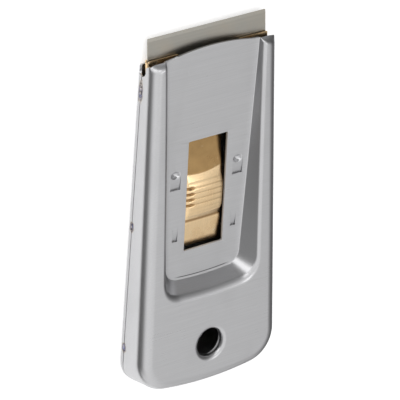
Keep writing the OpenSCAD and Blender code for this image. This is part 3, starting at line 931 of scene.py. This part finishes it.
def brushed(name, colour, grain, depth, tone=0.05):
    """Brushed sheet metal: fine scratches along X, faint stains and a few stray marks."""
    m = Maker(name)
    streaks = m.noise(grain, 3.0)
    stains = m.noise((70, 45, 70), 3.0)
    marks = m.scratches((90, 140, 90), 0.0016, 0.42)
    base = m.blend(m.remap(streaks, 0.3, 0.7), scaled(colour, 1 - tone), scaled(colour, 1 + tone))
    base = m.blend(m.remap(stains, 0.5, 0.8, 0.0, 0.6), base, scaled(colour, 0.9))
    base = m.blend(m.math("MULTIPLY", marks, 0.3), base, scaled(colour, 1.25))
    gloss = m.remap(streaks, 0.2, 0.8, BRUSHED_ROUGHNESS * 0.9, BRUSHED_ROUGHNESS * 1.1)
    gloss = m.math("ADD", gloss, m.remap(stains, 0.3, 0.7, -0.02, 0.03))
    return m, base, gloss, m.bump(streaks, depth)


# How far the heat of each tack has tinted the steel, across the seam and beyond its ends
TINT_Z = 1.25
TINT_END = 0.8
# The tint sets in between these two distances from the middle plane, on the sides alone
TINT_FROM_X = 19.5
TINT_FULL_X = 19.8
# Colours from the middle of a tack, at 0, to the end of its tint, at 1
TINT_STOPS = ((0.35, (0.10, 0.075, 0.06)), (0.5, (0.24, 0.26, 0.42)), (0.64, (0.2, 0.15, 0.13)),
              (0.8, (0.48, 0.42, 0.33)), (1.0, (0.60, 0.60, 0.61)))


def heat_tint(m, parts, base):
    """Straw, brown and blue bands round each tack weld on the seam."""
    near = None
    for mid_y, length in TACKS:
        dy = m.math("DIVIDE", m.math("SUBTRACT", parts["Y"], mid_y * MM), (length / 2 + TINT_END) * MM)
        dz = m.math("DIVIDE", m.math("SUBTRACT", parts["Z"], SEAM_Z * MM), TINT_Z * MM)
        far = m.math("SQRT", m.math("ADD", m.math("MULTIPLY", dy, dy), m.math("MULTIPLY", dz, dz)))
        near = far if near is None else m.math("MINIMUM", near, far)
    near = m.math("ADD", near, m.remap(m.noise((600, 600, 600), 2.0), 0.3, 0.7, -0.18, 0.18))
    side = m.remap(m.math("ABSOLUTE", parts["X"]), TINT_FROM_X * MM, TINT_FULL_X * MM)
    share = m.math("MULTIPLY", m.remap(near, 1.0, 0.65, 0.0, 0.85), side)
    return m.blend(share, base, m.ramp(near, TINT_STOPS))


SHEARED_MARGIN = 0.06
SHEARED_METALLIC = 0.35
SHEARED_ROUGHNESS = 0.6
# Width, offset and darkness of the painted shade in the crease
CREASE_W = 0.17
CREASE_OFF = 0.75
CREASE_SHADE = 0.06


def sheared(m, parts):
    """1 on the cut edges of the window, which shearing has left dull."""
    half_w = WINDOW_W / 2 + SHEARED_MARGIN
    half_len = WINDOW_LEN / 2 + SHEARED_MARGIN
    mid_y = WINDOW_Y + WINDOW_LEN / 2
    across = m.math("LESS_THAN", m.math("ABSOLUTE", parts["X"]), half_w * MM)
    along = m.math("LESS_THAN", m.off(parts["Y"], mid_y * MM), half_len * MM)
    front = m.math("GREATER_THAN", parts["Z"], (FLOOR_Z - SHEET - SHEARED_MARGIN) * MM)
    return m.math("MULTIPLY", m.math("MULTIPLY", across, along), front)


def painted_crease_shade(m, parts):
    """1 in the thin pressed line before the foot of the pocket's bottom wall, which is painted dark as
    shade.
    """
    straight = FLOOR_W_BOTTOM / 2 - FLOOR_CORNER_R
    square = m.math("MULTIPLY", parts["X"], parts["X"])
    sag = m.math("MULTIPLY", square, BOTTOM_BOW / (2 * straight * MM))
    mid_y = FLOOR_END_Y - straight * BOTTOM_BOW / 2 + CREASE_OFF
    off = m.off(m.math("SUBTRACT", parts["Y"], sag), mid_y * MM)
    line = m.remap(off, CREASE_W * MM, 0.4 * CREASE_W * MM, smooth=True)
    inner = m.remap(m.math("ABSOLUTE", parts["X"]), (straight + 1) * MM, (straight - 1) * MM)
    front = m.math("GREATER_THAN", parts["Z"], (FLOOR_Z - 0.3) * MM)
    return m.math("MULTIPLY", m.math("MULTIPLY", line, inner), front)


def shell_material():
    """The shells' brushed steel, tinted by the tacks, dull on the window's edges, with painted shade in
    the crease.
    """
    m, base, gloss, normal = brushed("shell_steel", STEEL, (60, 5200, 5200), 0.0012)
    parts = m.split(m.place)
    cut = sheared(m, parts)
    # Painted shade in the crease
    line = m.math("MULTIPLY", painted_crease_shade(m, parts), 0.9)
    base = m.blend(line, heat_tint(m, parts, base), scaled(STEEL, CREASE_SHADE))
    gloss = m.math("MAXIMUM", gloss, m.math("MULTIPLY", cut, SHEARED_ROUGHNESS))
    m.links.new(m.remap(cut, 0.0, 1.0, 1.0, SHEARED_METALLIC), m.bsdf.inputs["Metallic"])
    return m.finish(base, gloss, normal, SHELL_ANISOTROPY)


def tack_material():
    """Melted steel with pits and oxide colours."""
    m = Maker("tack_steel")
    lumps = m.noise((1500, 1100, 1500), 5.0)
    tint = m.noise((500, 420, 500), 3.0)
    base = m.blend(m.remap(lumps, 0.4, 0.58), TACK_PIT, TACK_BRIGHT)
    base = m.blend(m.remap(tint, 0.52, 0.64, 0.0, 0.7), base, TACK_BLUE)
    gloss = m.remap(lumps, 0.3, 0.7, 0.45, 0.2)
    return m.finish(base, gloss, m.bump(lumps, 0.1))


def groove_dark_and_painted_shade(m, parts):
    """1 where the leaf is painted dark: along the grooves, most at their left ends, in a line of painted
    shade at the bump's foot, and in a painted dark reflection along its right edge.
    """
    turns = m.math("DIVIDE", m.math("SUBTRACT", parts["Y"], RIDGE_MID_Y * MM), RIDGE_PITCH * MM)
    wave = m.math("COSINE", m.math("MULTIPLY", turns, 2 * math.pi))
    end = m.remap(parts["X"], -(DENT_X - 0.4) * MM, -(DENT_X + 0.9) * MM, smooth=True)
    line = m.remap(m.math("SUBTRACT", wave, m.math("MULTIPLY", end, 0.75)), -0.5, -0.95, smooth=True)
    whole = (RIDGE_COUNT - 1) / 2 * RIDGE_PITCH
    ridged = m.remap(m.off(parts["Y"], RIDGE_MID_Y * MM), (whole + 0.3) * MM, whole * MM)
    depth = m.remap(end, 0.0, 1.0, 0.3, 0.9)
    groove_dark = m.math("MULTIPLY", m.math("MULTIPLY", line, ridged), depth)
    # Painted shade along the bump's foot
    foot = m.remap(m.off(parts["Y"], BUMP_FOOT_Y * MM), 0.75 * MM, 0.1 * MM, 0.0, 0.8, smooth=True)
    # Painted dark reflection along the leaf's right edge
    edge = m.remap(parts["X"], (LEAF_HALF_W - 0.9) * MM, (LEAF_HALF_W - 0.2) * MM,
                   0.0, 0.6, smooth=True)
    return m.math("MAXIMUM", m.math("MAXIMUM", groove_dark, foot), edge)


# The painted dark reflection on the leaf's upper ramp starts at this y, over a short run, along a line
# that leans and sags
RAMP_REFLECTION_Y = 48.2
RAMP_REFLECTION_RUN = 0.35
RAMP_REFLECTION_LEAN = 0.05
RAMP_REFLECTION_SAG = 22.0


def brass_material(name, leaf_painted_shade):
    """Rolled brass with fine lines along Y. On the leaf, the upper ramp is painted brown up to the thumb
    bump as a dark reflection.
    """
    m = Maker(name)
    streaks = m.noise((2600, 90, 2600), 3.0)
    stains = m.noise((160, 160, 160), 3.0)
    marks = m.scratches((240, 150, 240), 0.003, 0.45)
    base = m.blend(m.remap(streaks, 0.3, 0.7), scaled(BRASS_COLOUR, 0.95), scaled(BRASS_COLOUR, 1.04))
    base = m.blend(m.remap(stains, 0.48, 0.75, 0.0, 0.35), base, BRASS_STAIN)
    if leaf_painted_shade:
        parts = m.split(m.place)
        # Grooves darkened, with painted shade at the bump's foot and a painted dark reflection on the
        # right edge
        base = m.blend(groove_dark_and_painted_shade(m, parts), base, GROOVE_DARK_AND_PAINTED_SHADE)
        sag = m.math("MULTIPLY", m.math("MULTIPLY", parts["X"], parts["X"]), RAMP_REFLECTION_SAG)
        lean = m.math("ADD", sag, m.math("MULTIPLY", parts["X"], RAMP_REFLECTION_LEAN))
        past = m.math("SUBTRACT", m.math("SUBTRACT", parts["Y"], lean), RAMP_REFLECTION_Y * MM)
        # The upper ramp's browns: a painted dark reflection
        brown = m.blend(m.remap(stains, 0.35, 0.65), *RAMP_PAINTED_REFLECTION)
        base = m.blend(m.remap(past, 0.0, RAMP_REFLECTION_RUN * MM, smooth=True), base, brown)
    base = m.blend(m.math("MULTIPLY", marks, 0.8), base, BRASS_SCRATCH)
    gloss = m.remap(stains, 0.3, 0.7, 0.2, 0.3)
    return m.finish(base, gloss, m.bump(streaks, 0.0008))


def blade_material():
    """Ground and honed blade steel, with fine grinding lines and faint oil stains."""
    m, base, gloss, normal = brushed("blade_steel", BLADE_COLOUR, (25, 2400, 2400), 0.0004, 0.04)
    cloud = m.noise((120, 160, 120), 3.0)
    base = m.blend(m.remap(cloud, 0.4, 0.7, 0.0, 0.6), base, BLADE_STAIN)
    return m.finish(base, gloss, normal)


def spine_material():
    """Plain rolled steel."""
    m, base, gloss, normal = brushed("spine_steel", SPINE_STEEL, (60, 900, 900), 0.001)
    return m.finish(base, gloss, normal)


shell_steel = shell_material()
tack_steel = tack_material()
brass_sheet = brass_material("carrier_brass", False)
leaf_brass = brass_material("leaf_brass", True)
blade_steel = blade_material()
spine_steel = spine_material()


def dress(obj, body, node, material):
    """Gives a piece its material and its body, and hides the CAD node that it stands for."""
    obj.data.materials.append(material)
    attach(obj, body)
    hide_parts(node)


dress(front_shell(), "handle", "front_shell", shell_steel)
dress(rear_shell(), "handle", "rear_shell", shell_steel)
dress(tack_welds(-1, "left_tacks"), "handle", "left_seam_welds", tack_steel)
dress(tack_welds(1, "right_tacks"), "handle", "right_seam_welds", tack_steel)
dress(carrier(), "carrier", "blade_carrier", brass_sheet)
dress(thumb_leaf(), "leaf", "thumb_leaf", leaf_brass)
for node, material in (("blade", blade_steel), ("blade_spine", spine_steel)):
    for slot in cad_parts[node].material_slots:
        slot.material = material


# Camera, floor and light

CAMERA_AT = Vector((-537.29, 481.71, 696.76))
VIEW_TURN = math.radians(37.636)
VIEW_TILT = math.radians(26.731)
VIEW_ROLL = math.radians(2.898)
LENS = 333.45
# The camera aims beside the rear face's middle line at AIM_Y, by these steps in the picture
AIM_Y = 38.6
AIM_RIGHT = 1.592
AIM_DOWN = 0.084

FLOOR_R = 4000
FLOOR_COLOUR = (0.9, 0.9, 0.9)
FLOOR_FAR_COLOUR = (0.18, 0.18, 0.18)
# Between these distances from the middle line, in metres, the mirrored floor turns dark
FLOOR_FAR_X = (0.030, 0.052)
# Glow of the floor for the camera and in the metal, where it fades from left to right along X
FLOOR_LIFT = 0.5
FLOOR_LIFT_MIRRORED = 0.4
FLOOR_LIFT_X = (-0.01, 0.03)

# Limits in the sky, as parts of a direction of length 1. The overhead greys take over from the
# horizon's between these heights, and between these Y values at the near end.
HORIZON = (0.22, 0.72)
NEAR_FRONT = (-0.56, -0.85)
# Beyond these Y values the sky is dimmed to FAR_DIM, in a band that sets in and ends at these heights
BEYOND = (-0.4, -0.05)
BAND_LOW = (0.0, 0.28)
BAND_HIGH = (0.68, 0.82)
FAR_DIM = 0.55
# Greys from the left at 0 to the right at 1, overhead and at the horizon
HIGH_STOPS = ((0.0, 0.9), (0.2, 1.0), (0.42, 0.95), (0.62, 0.87), (0.77, 0.77), (0.87, 0.5),
              (1.0, 0.45))
LOW_STOPS = ((0.0, 0.17), (0.25, 0.2), (0.5, 0.35), (0.75, 0.38), (0.9, 0.2), (1.0, 0.14))

# Name, direction, width and length in metres, and radiance of each lamp
LAMPS = (("top_left", (-0.46, 0.72, 0.52), (0.6, 0.5), 1.6),
         ("top_middle", (0.03, 0.66, 0.75), (0.32, 0.3), 1.35),
         ("overhead", (0.36, 0.0, 0.93), (0.26, 0.26), 1.5))
LAMP_DISTANCE = 1.0
LAMP_AIM = Vector((0, 0.04, 0))


def camera():
    """The photograph's viewing angle: a long lens, turned, tilted and slightly rolled."""
    view = Vector((math.sin(VIEW_TURN) * math.cos(VIEW_TILT), -math.sin(VIEW_TILT),
                   -math.cos(VIEW_TURN) * math.cos(VIEW_TILT)))
    level = Vector((math.cos(VIEW_TURN), 0, math.sin(VIEW_TURN)))
    up = level.cross(view)
    right = math.cos(VIEW_ROLL) * level + math.sin(VIEW_ROLL) * up
    up = math.cos(VIEW_ROLL) * up - math.sin(VIEW_ROLL) * level
    aim = Vector((0, AIM_Y, 0)) + AIM_RIGHT * right - AIM_DOWN * up
    back = (CAMERA_AT - aim).normalized()
    right = (right - back * right.dot(back)).normalized()
    data = bpy.data.cameras.new("camera")
    data.sensor_width = 36
    data.lens = LENS
    data.clip_start = 0.05
    data.clip_end = 20
    obj = bpy.data.objects.new("camera", data)
    turn = Matrix((right, back.cross(right), back)).transposed().to_4x4()
    obj.matrix_world = Matrix.Translation(CAMERA_AT * MM) @ turn
    bpy.context.scene.collection.objects.link(obj)
    bpy.context.scene.camera = obj


def softbox(name, towards, size, level):
    """A rectangular lamp in the direction towards, that shines on the scraper with radiance level."""
    data = bpy.data.lights.new(name, "AREA")
    data.shape = "RECTANGLE"
    data.size, data.size_y = size
    data.energy = level * math.pi * size[0] * size[1]
    obj = bpy.data.objects.new(name, data)
    at = Vector(towards).normalized()
    obj.matrix_world = (Matrix.Translation(at * LAMP_DISTANCE + LAMP_AIM)
                        @ at.to_track_quat("Z", "Y").to_matrix().to_4x4())
    bpy.context.scene.collection.objects.link(obj)


def floor():
    """The pale floor. Its mirror image in the metal is dark to both sides of the scraper."""
    bm = bmesh.new()
    bmesh.ops.create_circle(bm, cap_ends=True, radius=FLOOR_R, segments=64)
    obj = new_object("floor", bm)
    m = Maker("floor")
    m.bsdf.inputs["Roughness"].default_value = 1.0
    m.bsdf.inputs["Specular IOR Level"].default_value = 0.0
    path = m.node("ShaderNodeLightPath").outputs
    across = m.split(m.place)["X"]
    far = m.remap(m.math("ABSOLUTE", across), *FLOOR_FAR_X, smooth=True)
    mirrored_far = m.math("MULTIPLY", far, path["Is Glossy Ray"])
    m.links.new(m.blend(mirrored_far, FLOOR_COLOUR, FLOOR_FAR_COLOUR), m.bsdf.inputs["Base Color"])
    mirrored_lift = m.remap(across, *FLOOR_LIFT_X, FLOOR_LIFT_MIRRORED, 0.0)
    mirrored_lift = m.math("MULTIPLY", mirrored_lift, m.remap(far, 1.0, 0.0))
    m.bsdf.inputs["Emission Color"].default_value = (1, 1, 1, 1)
    lift = m.math("ADD", m.math("MULTIPLY", path["Is Camera Ray"], FLOOR_LIFT),
                  m.math("MULTIPLY", path["Is Glossy Ray"], mirrored_lift))
    m.links.new(lift, m.bsdf.inputs["Emission Strength"])
    obj.data.materials.append(m.material)


def studio():
    """A soft studio: bright overhead, darker to the right, dark at the horizon and beyond the blade."""
    world = bpy.data.worlds.new("studio")
    sky = Graph(world)
    background = sky.nodes["Background"].inputs
    parts = sky.split(sky.coords["Generated"])
    across = sky.remap(parts["X"], -1.0, 1.0)
    low, high = [sky.ramp(across, [(place, (grey, grey, grey)) for place, grey in stops])
                 for stops in (LOW_STOPS, HIGH_STOPS)]
    up = sky.remap(parts["Z"], *HORIZON, smooth=True)
    near_front = sky.remap(parts["Y"], *NEAR_FRONT, smooth=True)
    sky.links.new(sky.blend(sky.math("MAXIMUM", up, near_front), low, high), background["Color"])
    beyond = sky.remap(parts["Y"], *BEYOND, smooth=True)
    band = sky.math("MULTIPLY", sky.remap(parts["Z"], *BAND_LOW, smooth=True),
                    sky.remap(parts["Z"], *BAND_HIGH, 1.0, 0.0, smooth=True))
    dim = sky.math("MULTIPLY", beyond, band)
    sky.links.new(sky.remap(dim, 0.0, 1.0, 1.0, FAR_DIM, smooth=True), background["Strength"])
    bpy.context.scene.world = world


camera()
floor()
studio()
for lamp in LAMPS:
    softbox(*lamp)
bpy.context.scene.view_settings.view_transform = "Standard"
